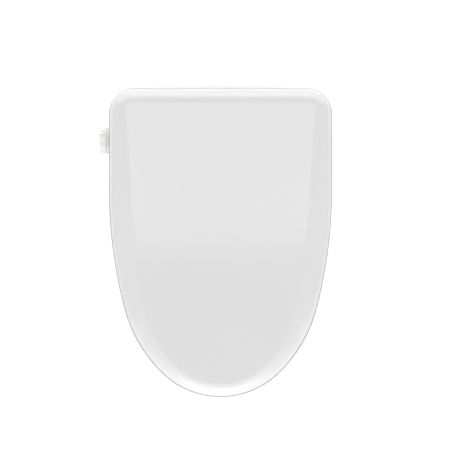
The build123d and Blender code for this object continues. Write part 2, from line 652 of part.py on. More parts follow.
# ---------------------------------------------------------------- quick release
def button_hole():
    x = LID_WIDTH / 2 - CASE_INSET
    return block((x - 4, x + 4), (BUTTON_Y - 7.8, BUTTON_Y + 7.8), (BUTTON_Z - 4.8, BUTTON_Z + 4.8))


def release_button():
    x = LID_WIDTH / 2 - CASE_INSET
    cap = block((x - 4, x + BUTTON_PROUD), (BUTTON_Y - 7.5, BUTTON_Y + 7.5), (BUTTON_Z - 4.5, BUTTON_Z + 4.5))
    cap = fillet(cap.faces().sort_by(Axis.X)[-1].edges(), 1)
    flange = block((x - 6.5, x - 2.8), (BUTTON_Y - 9.5, BUTTON_Y + 9.5), (BUTTON_Z - 6.5, BUTTON_Z + 6.5))
    return cap + flange


def release_latch():
    """The bar from the button to the hook that holds the mounting plate's tab."""
    y = (BUTTON_Y - LATCH_HALF, BUTTON_Y + LATCH_HALF)
    upright = block(LATCH_UPRIGHT_X, y, (LATCH_Z[0], BUTTON_Z + 5))
    bar = block((LATCH_HOOK_X[0], LATCH_UPRIGHT_X[1]), y, LATCH_Z)
    return upright + bar + block(LATCH_HOOK_X, y, (LATCH_POCKET_Z + 0.4, LATCH_Z[1]))


def bar_passage(low_x, high_x):
    """The room for the latch bar between two places along X."""
    half = LATCH_HALF + 0.4
    return block((low_x, high_x), (BUTTON_Y - half, BUTTON_Y + half), (LATCH_Z[0] - 0.4, LATCH_Z[1] + 0.4))


def latch_rib():
    """The tray's rib behind the latch spring, with a slot for the bar to pass."""
    rib = block((RIB_X - 2.5, RIB_X), (BUTTON_Y - 6, BUTTON_Y + 6), (CASE_UNDER_Z + 1, BUTTON_Z + 5))
    return rib - bar_passage(RIB_X - 4, RIB_X + 1)


def latch_slot():
    """The hole in the tunnel's side wall for the latch bar."""
    return bar_passage(TUNNEL_HALF - 1, TUNNEL_HALF + CASE_WALL + 1)


def latch_spring():
    """A compression spring, drawn at its pressed length, which rides on the latch."""
    start = RIB_X + BUTTON_TRAVEL + SPRING_WIRE_R + 0.2
    length = LATCH_UPRIGHT_X[0] - SPRING_WIRE_R - 0.1 - start
    coil = Helix(pitch=length / SPRING_TURNS, height=length, radius=SPRING_R)
    wire = sweep(Plane(origin=coil @ 0, z_dir=coil % 0) * Circle(SPRING_WIRE_R), coil, is_frenet=True)
    return Plane(origin=(start, BUTTON_Y, BUTTON_Z), x_dir=(0, 1, 0), z_dir=(1, 0, 0)) * wire


# ---------------------------------------------------------------- control knob and selector valve
def knob_rod(start_x, end_x, radius):
    return rod((start_x, KNOB_Y, KNOB_Z), (end_x, KNOB_Y, KNOB_Z), radius)


def knob_hole():
    return knob_rod(-LID_WIDTH / 2, -LID_WIDTH / 2 + 10, SPIGOT_R + 0.1)


def knob_bezel():
    """The fixed flange between the case's side and the knob."""
    wall_x = -LID_WIDTH / 2 + CASE_INSET
    flange = knob_rod(wall_x, BEZEL_X, KNOB_R)
    flange = fillet(flange.edges().filter_by(GeomType.CIRCLE).sort_by(Axis.X)[0], 0.6)
    return flange + knob_rod(wall_x, wall_x + CASE_WALL, SPIGOT_R) - knob_rod(-LID_WIDTH, 0, 8)


def control_knob():
    """A round knob: a grip bar between two scooped recesses, and an indicator groove on its rim."""
    body = knob_rod(KNOB_BACK_X, KNOB_FACE_X, KNOB_R)
    body = fillet(body.edges().filter_by(GeomType.CIRCLE).sort_by(Axis.X)[0], 1.5)
    top = KNOB_R * cos(radians((GROOVE_TURN + EDGE_TURN) / 2)) + 2
    bar = block((KNOB_FACE_X - 1, 0), (KNOB_Y - GRIP_HALF, KNOB_Y + GRIP_HALF), (KNOB_Z - 40, KNOB_Z + top))
    scoop = knob_rod(KNOB_FACE_X - 1, KNOB_FACE_X + SCOOP_DEPTH, KNOB_R - 3) - bar
    body -= scoop
    for turn, width in ((GROOVE_TURN, 1.0), (-EDGE_TURN, 0.5)):
        cut = Box(40, width, 1.6).move(Location((0, 0, KNOB_R)))
        body -= Pos(KNOB_FACE_X, KNOB_Y, KNOB_Z) * Rot(-turn, 0, 0) * cut
    socket = knob_rod(KNOB_BACK_X + 1, KNOB_FACE_X + 3, KNOB_SHAFT_R + 0.05)
    flat = block((-200, -180), (KNOB_Y - 9, KNOB_Y + 9), (KNOB_Z + KNOB_SHAFT_FLAT + 0.05, KNOB_Z + 9))
    return body - (socket - flat)


def knob_shaft():
    shaft = knob_rod(KNOB_FACE_X + 3.2, ROTOR_X[0], KNOB_SHAFT_R)
    flat = block((KNOB_FACE_X, KNOB_BACK_X), (KNOB_Y - 9, KNOB_Y + 9), (KNOB_Z + KNOB_SHAFT_FLAT, KNOB_Z + 9))
    return shaft - flat


def valve_rotor():
    """The ceramic disc that the knob turns, with its two ports."""
    disc = knob_rod(*ROTOR_X, ROTOR_R)
    for dy in (-4.5, 4.5):
        y = KNOB_Y + dy
        disc -= rod((ROTOR_X[0] - 1, y, KNOB_Z), (ROTOR_X[1] + 1, y, KNOB_Z), 2)
    return disc


def valve_body():
    body = knob_rod(VALVE_X[0], VALVE_X[1], VALVE_R)
    body += rod((VALVE_PORT_X, KNOB_Y, KNOB_Z), (VALVE_PORT_X, VALVE_PORT_Y, KNOB_Z), NIPPLE_R)
    body -= knob_rod(ROTOR_X[0] - 0.2, VALVE_X[1] + 1, ROTOR_R + RUNNING_GAP)
    body -= rod((VALVE_PORT_X, KNOB_Y, KNOB_Z), (VALVE_PORT_X, VALVE_PORT_Y + 1, KNOB_Z), NIPPLE_BORE_R)
    return body - knob_rod(VALVE_X[0] - 1, ROTOR_X[0], KNOB_SHAFT_R + RUNNING_GAP)


def valve_end_cap():
    """The valve's inner end, with one outlet for each nozzle."""
    cap = knob_rod(VALVE_X[1], CAP_END_X, VALVE_R)
    for dz in (-OUTLET_OFFSET, OUTLET_OFFSET):
        z = KNOB_Z + dz
        cap += rod((CAP_END_X, KNOB_Y, z), (CAP_END_X + 8, KNOB_Y, z), NIPPLE_R)
        cap -= rod((VALVE_X[1] - 1, KNOB_Y, z), (CAP_END_X + 9, KNOB_Y, z), NIPPLE_BORE_R)
    return cap


# ---------------------------------------------------------------- water inlet and heater
def inlet_rod(start_z, end_z, radius):
    return rod((INLET_X, INLET_Y, start_z), (INLET_X, INLET_Y, end_z), radius)


def inlet_hole():
    return inlet_rod(0, 5, INLET_NECK_R + 0.2)


def inlet_connector():
    body = inlet_rod(INLET_END_Z, 1.5, THREAD_R) + inlet_rod(1.5, 4.7, INLET_NECK_R) + inlet_rod(4.7, 8, 14)
    return body - inlet_rod(INLET_END_Z - 1, 9, 5.6)


def inlet_filter():
    """The strainer cup inside the inlet."""
    return inlet_rod(-14, 3, 5.4) - inlet_rod(-12.8, 4, 4.6)


def solenoid_valve():
    """The shut-off valve on top of the inlet, with a nipple for the cold hose."""
    body = block(SOLENOID_X, SOLENOID_Y, SOLENOID_Z)
    body = fillet(body.edges().filter_by(Axis.Z), 3)
    body -= inlet_rod(SOLENOID_Z[0] - 1, SOLENOID_Z[0] + 6, 5)
    near, far = SOLENOID_X[0] + 1, SOLENOID_X[0] - 8
    body += rod((near, COLD_Y, COLD_Z), (far, COLD_Y, COLD_Z), NIPPLE_R)
    return body - rod((near + 10, COLD_Y, COLD_Z), (far - 1, COLD_Y, COLD_Z), NIPPLE_BORE_R)


def solenoid_coil():
    """The valve's coil, with its pole on top and its plug at the side."""
    low, high = SOLENOID_Z[1], SOLENOID_Z[1] + 12
    coil = inlet_rod(low, high, 8.5) + inlet_rod(high, high + 1.5, 3.5)
    return coil + block((INLET_X + 6, INLET_X + 12), (INLET_Y - 4, INLET_Y + 4), (low + 1, high - 3))


def heater_rod(start_x, end_x, radius):
    return rod((start_x, HEATER_Y, HEATER_Z), (end_x, HEATER_Y, HEATER_Z), radius)


def heater_body():
    """The instant heater's tube, with a nipple below each end."""
    tube = heater_rod(HEATER_X[0], HEATER_X[1], HEATER_R)
    for x in HEATER_PORTS:
        tube += rod((x, HEATER_Y, HEATER_Z), (x, HEATER_Y, HEATER_Z - HEATER_R - 8), NIPPLE_R)
    tube -= heater_rod(HEATER_X[0] - 1, HEATER_X[1] + 1, HEATER_R - 1.5)
    for x in HEATER_PORTS:
        tube -= rod((x, HEATER_Y, HEATER_Z), (x, HEATER_Y, HEATER_Z - HEATER_R - 9), NIPPLE_BORE_R)
    return tube


def heater_element():
    """The ceramic heating rod along the middle of the tube."""
    return heater_rod(HEATER_X[0], HEATER_X[1], 4.5)


def heater_end_caps():
    low, high = HEATER_X
    return group([heater_rod(low - 3, low, HEATER_R + 1), heater_rod(high, high + 3, HEATER_R + 1)])


def thermal_cutout():
    x = sum(HEATER_X) / 2
    disc = rod((x, HEATER_Y, HEATER_Z + 9), (x, HEATER_Y, HEATER_Z + HEATER_R + 3), 6)
    return disc - heater_rod(HEATER_X[0], HEATER_X[1], HEATER_R)


def vacuum_breaker():
    """The air valve that keeps bowl water out of the supply."""
    y, (low, high) = BREAKER_Y, BREAKER_Z
    body = rod((0, y, low), (0, y, high), BREAKER_R) - rod((0, y, low + 2), (0, y, high + 1), BREAKER_R - 2)
    return body + rod((0, y, low), (0, y, high - 3), 3)


def hose(points):
    """A hose round straight runs joined by tangent arcs, with the arcs as large as the runs allow."""
    points = [Vector(*p) for p in points]
    radii = []
    for before, corner, after in zip(points, points[1:], points[2:]):
        run_in, run_out = corner - before, after - corner
        turn = radians(run_in.get_angle(run_out))
        radii.append(0.45 * min(run_in.length, run_out.length) / tan(turn / 2))
    path = FilletPolyline(*points, radius=radii)
    start = Plane(origin=path @ 0, z_dir=path % 0)
    tube = sweep(start * Circle(HOSE_R), path) - sweep(start * Circle(HOSE_BORE_R), path)
    section = HOSE_R**2 - HOSE_BORE_R**2
    share = tube.volume / (pi * section * path.length)
    print("hose", round(path.length), "mm, radii", [round(r) for r in radii], "volume", round(share, 4))
    return tube


def cold_hose():
    """From the solenoid valve up to the heater."""
    x, end_z = HEATER_PORTS[1], HEATER_Z - HEATER_R
    route = [(129, COLD_Y, COLD_Z), (110, COLD_Y, COLD_Z), (89, 6, 20), (90, -14, 30)]
    return hose(route + [(x, HEATER_Y, 38), (x, HEATER_Y, end_z)])


def hot_hose():
    """From the heater, under the nozzles, to the selector valve."""
    x, end_z = HEATER_PORTS[0], HEATER_Z - HEATER_R
    route = [(x, HEATER_Y, end_z), (x, HEATER_Y, 38), (40, 0, 25), (-6, 13, 22), (-72, 14, 21)]
    return hose(route + [(-118, 14, 24), (VALVE_PORT_X, 2, KNOB_Z), (VALVE_PORT_X, KNOB_Y + VALVE_R, KNOB_Z)])


def rear_wash_hose():
    y, z = FEED_ELBOW.Y, FEED_ELBOW.Z
    high_z = KNOB_Z + OUTLET_OFFSET
    route = [(CAP_END_X, KNOB_Y, high_z), (-106, KNOB_Y, high_z), (-72, -20, 46)]
    return hose(route + [(-46, y, z), (-FEED_STEP_X, y, z)])


def front_wash_hose():
    """Under the nozzle carrier and back over to the other feed pipe."""
    y, z, low_z = FEED_ELBOW.Y, FEED_ELBOW.Z, KNOB_Z - OUTLET_OFFSET
    route = [(CAP_END_X, KNOB_Y, low_z), (-100, KNOB_Y, low_z), (-40, -31, 23), (20, -31, 23), (56, -28, 27)]
    return hose(route + [(64, -12, 42), (50, y, z), (FEED_STEP_X, y, z)])


# ---------------------------------------------------------------- electrics
def board_case():
    """An open box with four posts that carry the board."""
    x, y, z = BOARD_X, BOARD_Y, BOARD_CASE_Z
    case = block((x[0] - 3, x[1] + 3), (y[0] - 2.5, y[1] + 2.5), z)
    case -= block((x[0] - 1, x[1] + 1), (y[0] - 0.7, y[1] + 0.7), (z[0] + 2, z[1] + 1))
    for post_x in (x[0] + 4, x[1] - 4):
        for post_y in BOARD_POST_Y:
            case += rod((post_x, post_y, z[0] + 1), (post_x, post_y, BOARD_Z), 2.2)
    return case


def control_board():
    return block(BOARD_X, BOARD_Y, (BOARD_Z, BOARD_Z + BOARD_T))


def board_components():
    """The board's relay, transformer, capacitors, heat sink and plug sockets."""
    floor = BOARD_Z + BOARD_T
    x, y = BOARD_X[0], BOARD_Y[0]
    items = [block((x + 8, x + 26), (y + 6, y + 20), (floor, floor + 13))]
    items.append(block((x + 9, x + 21), (y + 24, y + 33), (floor, floor + 12)))
    items.append(block((x + 30, x + 34), (y + 5, y + 28), (floor, floor + 14)))
    for step in range(3):
        centre = (x + 41, y + 8 + 10 * step)
        items.append(rod((*centre, floor), (*centre, floor + 11), 4))
    for step in range(4):
        start = y + 3 + 8 * step
        items.append(block((x + 52, x + 58), (start, start + 6), (floor, floor + 7)))
    return group(items)


def power_supply():
    """The potted supply block, with two fixing ears."""
    body = block(SUPPLY_X, SUPPLY_Y, SUPPLY_Z)
    body = fillet(body.edges().filter_by(Axis.Z), 3)
    ear_x, ear_y = (SUPPLY_X[0] - 4, SUPPLY_X[1] + 4), (SUPPLY_Y[0] + 8, SUPPLY_Y[1] - 8)
    return body + block(ear_x, ear_y, (SUPPLY_Z[0], SUPPLY_Z[0] + 3))


def gland_hole():
    return rod((GLAND_X, 40, GLAND_Z), (GLAND_X, 60, GLAND_Z), GLAND_NECK_R + 0.1)


def cord_gland():
    """The grommet where the supply cord enters at the back."""
    inner_y, outer_y = CASE_REAR_Y - CASE_WALL, REAR_Y - 0.5

    def along(low, high, radius):
        return rod((GLAND_X, low, GLAND_Z), (GLAND_X, high, GLAND_Z), radius)

    body = along(inner_y - 0.2, CASE_REAR_Y, GLAND_NECK_R) + along(CASE_REAR_Y, outer_y, GLAND_NECK_R + 1.5)
    body += along(inner_y - 2.5, inner_y - 0.1, GLAND_NECK_R + 2)
    return body - along(30, 60, GLAND_BORE_R)


# ---------------------------------------------------------------- nozzles
def nozzle_place(shape):
    """From the nozzles' own frame, where y runs back along a nozzle and z is square to it."""
    return NOZZLE_PLANE * shape


def along_nozzle(x, low, high, radius):
    return rod((x, low, 0), (x, high, 0), radius)


def carrier():
    """The sloping trough that guides both nozzles: a front ring, a rear plate and an ear for each motor."""
    x, end = CARRIER_HALF, NOZZLE_LENGTH
    low_z = -NOZZLE_R - CARRIER_DROP
    floor_z, ring_y = (low_z, low_z + CARRIER_FLOOR), (1, 6)
    body = block((-x, x), (ring_y[0], end + 3), floor_z)
    body += block((-CARRIER_RIB_HALF, CARRIER_RIB_HALF), (ring_y[0], end + 3), (low_z, 2))
    body += block((-x, x), ring_y, (low_z, NOZZLE_R + 2))
    body += block((-x, x), (end + 0.6, end + 3), (low_z, 6))
    ear = block((x - 1, PINION_X + 9), (PINION_Y - 8, PINION_Y + 8), floor_z)
    for item in both_sides(ear - rod((PINION_X, PINION_Y, -20), (PINION_X, PINION_Y, 0), 2)):
        body += item
    rack_z = (-RACK_HALF - 0.4, RACK_HALF + 0.4)
    for side in (-1, 1):
        body -= along_nozzle(side * NOZZLE_X, 0, ring_y[1] + 0.1, NOZZLE_R + RUNNING_GAP)
        body -= block(sorted((side * NOZZLE_X, side * (x + 1))), (0, ring_y[1] + 0.1), rack_z)
        body -= along_nozzle(side * NOZZLE_X, end, end + 4, FEED_R)
    return body


def carrier_posts():
    """Two posts of the tray that carry the trough, cut to its slope."""
    posts = block((-15, 15), (-52, -44), (CASE_UNDER_Z + 1, 60)) - block((-9, 9), (-60, -40), (0, 60))
    above = nozzle_place(block((-40, 40), (-60, 120), (-NOZZLE_R - CARRIER_DROP, 80)))
    return posts - above


def port_outline(grow):
    """The window in the nose's front wall for the port frame."""
    half, wall_y = PORT_HALF + grow, (NOSE_FRONT_Y, NOSE_FRONT_Y + CASE_WALL)
    return block((-half, half), wall_y, (PORT_Z[0] - grow, PORT_Z[1] + grow))


def port_hole(grow):
    window = port_outline(grow)
    return window + window.moved(Location((0, -1, 0))) + window.moved(Location((0, 1, 0)))


def port_frame():
    """The fixed frame in the nose with a port for each nozzle and its rack."""
    frame = port_outline(0)
    slot_z = (-RACK_HALF - 0.8, RACK_HALF + 0.8)
    for side in (-1, 1):
        frame -= nozzle_place(along_nozzle(side * NOZZLE_X, -30, 6, NOZZLE_R + 0.8))
        slot_x = sorted((side * NOZZLE_X, side * (RACK_TIP_X + 0.6)))
        frame -= nozzle_place(block(slot_x, (-30, 6), slot_z))
    return frame


def nozzle(side):
    """A wash nozzle: a tube with a closed front end, and a rack along its outer side."""
    x = side * NOZZLE_X
    tube = along_nozzle(x, TIP_LENGTH, NOZZLE_LENGTH, NOZZLE_R)
    body = tube + rack(side) - along_nozzle(x, 0, TIP_LENGTH, NOZZLE_R + 0.05)
    return body - along_nozzle(x, TIP_LENGTH + 3, NOZZLE_LENGTH + 1, FEED_R + 0.3)


def nozzle_tip(side):
    """The tip with its spray holes: three for the rear wash, five for the front wash."""
    x = side * NOZZLE_X
    tip = along_nozzle(x, 0, TIP_LENGTH, NOZZLE_R)
    tip = fillet(tip.edges().filter_by(GeomType.CIRCLE).sort_by(Axis.Y)[0], 2.5)
    tip -= block((x - 3.5, x + 3.5), (3, TIP_LENGTH - 1), (NOZZLE_R - 0.6, NOZZLE_R + 1))
    count = 3 if side > 0 else 5
    for step in range(count):
        y = TIP_LENGTH / 2 + 1 + 1.6 * (step - (count - 1) / 2)
        tip -= rod((x, y, 2), (x, y, 9), 0.5)
    return tip


def rack(side):
    """A straight rack whose pitch line touches the pinion, with a space opposite the pinion's centre."""
    root, tip = PITCH_X - 1.0, RACK_TIP_X
    pitch = pi * MODULE
    slope = tan(radians(20))
    half = pitch / 4 - BACKLASH / 2
    first, last = -round((PINION_Y - RACK_SPAN[0]) / pitch), round((RACK_SPAN[1] - PINION_Y) / pitch) - 1
    points = [(NOZZLE_X + 4, RACK_SPAN[0]), (root, RACK_SPAN[0])]
    for step in range(first, last + 1):
        y = PINION_Y + (step + 0.5) * pitch
        wide, narrow = half + slope * (PITCH_X - root), half - slope * (tip - PITCH_X)
        points += [(root, y - wide), (tip, y - narrow), (tip, y + narrow), (root, y + wide)]
    points += [(root, RACK_SPAN[1]), (NOZZLE_X + 4, RACK_SPAN[1])]
    bar = extrude(make_face(Polyline(*points, close=True).edges()), RACK_HALF, both=True)
    return bar if side > 0 else bar.mirror(Plane.YZ)


def pinion(side):
    """A 12-tooth involute pinion on its motor's shaft, with a tooth turned towards the rack."""
    pitch_r = MODULE * PINION_TEETH / 2
    base_r = pitch_r * cos(radians(20))
    tip_r, root_r = pitch_r + 0.9 * MODULE, pitch_r - 1.0 * MODULE
    at_pitch = pi / (2 * PINION_TEETH) - BACKLASH / (2 * pitch_r) + tan(radians(20)) - radians(20)

    def flank(radius):
        roll = (max(radius, base_r) / base_r) ** 2 - 1
        return at_pitch - (roll**0.5 - atan(roll**0.5))

    steps = [root_r] + [base_r + (tip_r - base_r) * i / 5 for i in range(6)]
    points = []
    for tooth in range(PINION_TEETH):
        middle = 2 * pi * tooth / PINION_TEETH + (pi if side > 0 else 0)
        rising = [(r, middle - flank(r)) for r in steps]
        falling = [(r, middle + flank(r)) for r in reversed(steps)]
        points += [(r * cos(a), r * sin(a)) for r, a in rising + falling]
    gear = extrude(make_face(Polyline(*points, close=True).edges()), PINION_HALF, both=True)
    gear = Pos(side * PINION_X, PINION_Y, 0) * gear
    return gear + rod((side * PINION_X, PINION_Y, -NOZZLE_R - 3), (side * PINION_X, PINION_Y, 0), 1.5)


def nozzle_motor(side):
    """The flat gear motor below a pinion, with its mounting ears."""
    x, top = side * PINION_X, -NOZZLE_R - CARRIER_DROP - 0.1
    body = rod((x, PINION_Y, top), (x, PINION_Y, top - 8), 7.5)
    body += block((x - 3, x + 3), (PINION_Y - 10, PINION_Y + 10), (top - 1.2, top))
    return body - rod((x, PINION_Y, top + 1), (x, PINION_Y, top - 1), 1.8)


def feed_pipes():
    """Fixed pipes that the nozzles slide on, each ending in an elbow for its hose."""
    pipes = []
    elbow_y = NOZZLE_LENGTH + FEED_ELBOW_STEP
    for side in (-1, 1):
        x = side * NOZZLE_X
        pipe = along_nozzle(x, TIP_LENGTH + 8, elbow_y + 3, FEED_R)
        step, end = side * FEED_STEP_X, side * (FEED_STEP_X + 8)
        pipe += rod((x - side * 3, elbow_y, 0), (step, elbow_y, 0), FEED_R + 1)
        pipe += rod((step, elbow_y, 0), (end, elbow_y, 0), NIPPLE_R)
        pipe -= along_nozzle(x, 0, elbow_y, FEED_BORE_R)
        pipes.append(nozzle_place(pipe - rod((x, elbow_y, 0), (end + side, elbow_y, 0), FEED_BORE_R)))
    return group(pipes)


# ---------------------------------------------------------------- all the parts
def all_parts():
    parts = {
        "base_tray": base_tray(),
        "housing_cover": housing_cover(),
        "casing_screws": casing_screws(),
        "base_feet": base_feet(),
        "mounting_plate": mounting_plate(),
        "plate_pad": plate_pad(),
        "bolt_inserts": bolt_inserts(),
        "fixing_bolts": fixing_bolts(),
        "bolt_bushes": bolt_bushes(),
        "wing_nuts": wing_nuts(),
        "release_button": release_button(),
        "release_latch": release_latch(),
        "latch_spring": latch_spring(),
        "knob_bezel": knob_bezel(),
        "control_knob": control_knob(),
        "knob_shaft": knob_shaft(),
        "valve_rotor": valve_rotor(),
        "valve_body": valve_body(),
        "valve_end_cap": valve_end_cap(),
        "inlet_connector": inlet_connector(),
        "inlet_filter": inlet_filter(),
        "solenoid_valve": solenoid_valve(),
        "solenoid_coil": solenoid_coil(),
        "heater_body": heater_body(),
        "heater_element": heater_element(),
        "heater_end_caps": heater_end_caps(),
        "thermal_cutout": thermal_cutout(),
        "vacuum_breaker": vacuum_breaker(),
        "cold_hose": cold_hose(),
        "hot_hose": hot_hose(),
        "rear_wash_hose": rear_wash_hose(),
        "front_wash_hose": front_wash_hose(),
        "board_case": board_case(),
        "control_board": control_board(),
        "board_components": board_components(),
        "power_supply": power_supply(),
        "cord_gland": cord_gland(),
        "nozzle_carrier": nozzle_place(carrier()),
        "nozzle_port_frame": port_frame(),
        "feed_pipes": feed_pipes(),
        "seat_ring_top": seat_ring_top(),
        "seat_ring_bottom": seat_ring_bottom(),
        "seat_bumpers": seat_bumpers(),
        "seat_heater": seat_heater(),
        "seat_thermostat": seat_thermostat(),
        "occupancy_sensor": occupancy_sensor(),
        "lid": lid_shell(),
        "lid_bumpers": lid_bumpers(),
        "seat_damper_body": damper_body(-1),
        "seat_damper_shaft": hinge_shaft(-1, SEAT_KNUCKLE),
        "lid_damper_body": damper_body(1),
        "lid_damper_shaft": hinge_shaft(1, LID_KNUCKLE),
    }
    for name, side in (("rear", 1), ("front", -1)):
        parts[f"{name}_nozzle"] = nozzle_place(nozzle(side))
        parts[f"{name}_nozzle_tip"] = nozzle_place(nozzle_tip(side))
        parts[f"{name}_nozzle_pinion"] = nozzle_place(pinion(side))
        parts[f"{name}_nozzle_motor"] = nozzle_place(nozzle_motor(side))
    return parts


os.makedirs("parts", exist_ok=True)
for node, shape in all_parts().items():
    export_step(shape, f"parts/{node}.step")
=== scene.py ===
"""Looks of the electric bidet seat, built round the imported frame. Metres, in the frame's own axes."""

import json
import math

import bmesh
import bpy
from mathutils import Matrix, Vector


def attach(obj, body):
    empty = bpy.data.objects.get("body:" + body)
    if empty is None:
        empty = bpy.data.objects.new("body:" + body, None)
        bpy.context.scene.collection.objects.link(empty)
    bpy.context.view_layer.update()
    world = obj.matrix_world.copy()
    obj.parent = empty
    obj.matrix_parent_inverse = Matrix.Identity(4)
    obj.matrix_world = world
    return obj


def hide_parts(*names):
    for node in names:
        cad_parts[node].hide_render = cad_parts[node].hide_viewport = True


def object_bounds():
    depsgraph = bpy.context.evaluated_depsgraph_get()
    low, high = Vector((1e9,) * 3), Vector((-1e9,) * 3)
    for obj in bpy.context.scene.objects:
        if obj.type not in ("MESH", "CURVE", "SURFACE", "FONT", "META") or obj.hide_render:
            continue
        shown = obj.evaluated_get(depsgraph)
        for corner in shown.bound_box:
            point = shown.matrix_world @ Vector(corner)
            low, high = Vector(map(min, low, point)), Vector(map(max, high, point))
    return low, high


MM = 0.001

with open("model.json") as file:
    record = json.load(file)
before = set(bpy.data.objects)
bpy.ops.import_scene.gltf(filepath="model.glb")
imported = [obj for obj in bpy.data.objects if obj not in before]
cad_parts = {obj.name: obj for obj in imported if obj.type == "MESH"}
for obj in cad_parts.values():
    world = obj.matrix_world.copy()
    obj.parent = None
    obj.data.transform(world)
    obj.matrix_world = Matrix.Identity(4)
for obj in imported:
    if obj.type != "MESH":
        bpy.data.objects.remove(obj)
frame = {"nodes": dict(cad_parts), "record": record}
cad_low, cad_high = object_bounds()


# ---------------------------------------------------------------- materials
class Nodes:
    """One material's node tree, with the chains that most of the plastics share."""

    def __init__(self, name, colour, roughness, **sockets):
        self.material = bpy.data.materials.new(name)
        self.material.use_nodes = True
        self.tree = self.material.node_tree
        self.shader = self.tree.nodes["Principled BSDF"]
        self.shader.inputs["Base Color"].default_value = (*colour, 1)
        self.shader.inputs["Roughness"].default_value = roughness
        for socket, value in sockets.items():
            self.shader.inputs[socket.replace("_", " ")].default_value = value
        self.place = self.add("ShaderNodeTexCoord").outputs["Object"]
        self.height = None

    def add(self, kind, **settings):
        node = self.tree.nodes.new(kind)
        for key, value in settings.items():
            setattr(node, key, value)
        return node

    def link(self, output, target):
        self.tree.links.new(output, target)

    def noise(self, size, detail=3.0, rough=0.5, stretch=(1, 1, 1)):
        """Noise with features about size metres across."""
        place = self.add("ShaderNodeMapping")
        place.inputs["Scale"].default_value = stretch
        self.link(self.place, place.inputs["Vector"])
        node = self.add("ShaderNodeTexNoise")
        node.inputs["Scale"].default_value = 1 / size
        node.inputs["Detail"].default_value = detail
        node.inputs["Roughness"].default_value = rough
        self.link(place.outputs["Vector"], node.inputs["Vector"])
        return node.outputs["Fac"]

    def spread(self, value, low, high, start=0.3, end=0.7):
        """A value from noise, stretched from start..end to low..high."""
        node = self.add("ShaderNodeMapRange")
        node.inputs["From Min"].default_value = start
        node.inputs["From Max"].default_value = end
        node.inputs["To Min"].default_value = low
        node.inputs["To Max"].default_value = high
        self.link(value, node.inputs["Value"])
        return node.outputs["Result"]

    def tint(self, value, dark, light, start=0.35, end=0.65):
        """Base colour from dark to light as a value rises."""
        ramp = self.add("ShaderNodeValToRGB")
        ramp.color_ramp.elements[0].position = start
        ramp.color_ramp.elements[0].color = (*dark, 1)
        ramp.color_ramp.elements[1].position = end
        ramp.color_ramp.elements[1].color = (*light, 1)
        self.link(value, ramp.inputs["Fac"])
        self.link(ramp.outputs["Color"], self.shader.inputs["Base Color"])

    def gloss(self, value, low, high):
        self.link(self.spread(value, low, high), self.shader.inputs["Roughness"])

    def round_edges(self, radius):
        """Softens hard edges over radius metres, as a mould or a tumbler leaves them."""
        node = self.add("ShaderNodeBevel", samples=6)
        node.inputs["Radius"].default_value = radius
        self.height = node.outputs["Normal"]
        self.link(self.height, self.shader.inputs["Normal"])

    def bump(self, value, depth, strength=1.0):
        """Relief depth metres deep, on top of any that is there already."""
        node = self.add("ShaderNodeBump")
        node.inputs["Strength"].default_value = strength
        node.inputs["Distance"].default_value = depth
        self.link(value, node.inputs["Height"])
        if self.height is not None:
            self.link(self.height, node.inputs["Normal"])
        self.height = node.outputs["Normal"]
        self.link(self.height, self.shader.inputs["Normal"])


def shade(colour, by):
    return tuple(max(0.0, min(1.0, c * by)) for c in colour)


def moulded(name, colour, roughness, grain=0.0012, grain_depth=0.00001, swirl=0.05, edge=0.0, **sockets):
    """Injection moulded plastic: flow tints, a slightly uneven gloss and the mould's surface grain."""
    m = Nodes(name, colour, roughness, **sockets)
    if edge:
        m.round_edges(edge)
    m.tint(m.noise(swirl, 2), shade(colour, 0.996), shade(colour, 1.003))
    m.gloss(m.noise(swirl * 0.6, 4), roughness * 0.9, roughness * 1.12)
    m.bump(m.noise(grain, 4, 0.6), grain_depth)
    m.bump(m.noise(grain * 9, 2), grain_depth * 1.5)
    return m


def metal(name, colour, roughness, stretch):
    m = Nodes(name, colour, roughness, Metallic=1.0)
    m.round_edges(0.0003)
    lay = m.noise(0.0015, 5, 0.7, stretch)
    m.tint(lay, shade(colour, 0.9), shade(colour, 1.06))
    m.gloss(lay, roughness * 0.75, roughness * 1.35)
    m.bump(lay, 0.00002)
    return m


def circuit_board():
    m = Nodes("board", (0.02, 0.16, 0.07), 0.35, Coat_Weight=0.4)
    brick = m.add("ShaderNodeTexBrick", offset=0.37)
    brick.inputs["Scale"].default_value = 130
    brick.inputs["Color1"].default_value = (0.015, 0.13, 0.055, 1)
    brick.inputs["Color2"].default_value = (0.03, 0.2, 0.09, 1)
    brick.inputs["Mortar"].default_value = (0.05, 0.3, 0.14, 1)
    brick.inputs["Mortar Size"].default_value = 0.06
    m.link(m.place, brick.inputs["Vector"])
    m.link(brick.outputs["Color"], m.shader.inputs["Base Color"])
    m.bump(brick.outputs["Fac"], 0.00004)
    return m


def heating_foil():
    m = Nodes("foil", (0.82, 0.8, 0.76), 0.3, Metallic=0.9)
    wave = m.add("ShaderNodeTexWave", wave_type="RINGS", rings_direction="Z")
    wave.inputs["Scale"].default_value = 45
    wave.inputs["Distortion"].default_value = 1.5
    m.link(m.place, wave.inputs["Vector"])
    m.tint(wave.outputs["Fac"], (0.55, 0.5, 0.44), (0.86, 0.84, 0.8), 0.2, 0.5)
    m.gloss(m.noise(0.004), 0.22, 0.4)
    m.bump(m.noise(0.003, 5, 0.7), 0.0002)
    return m


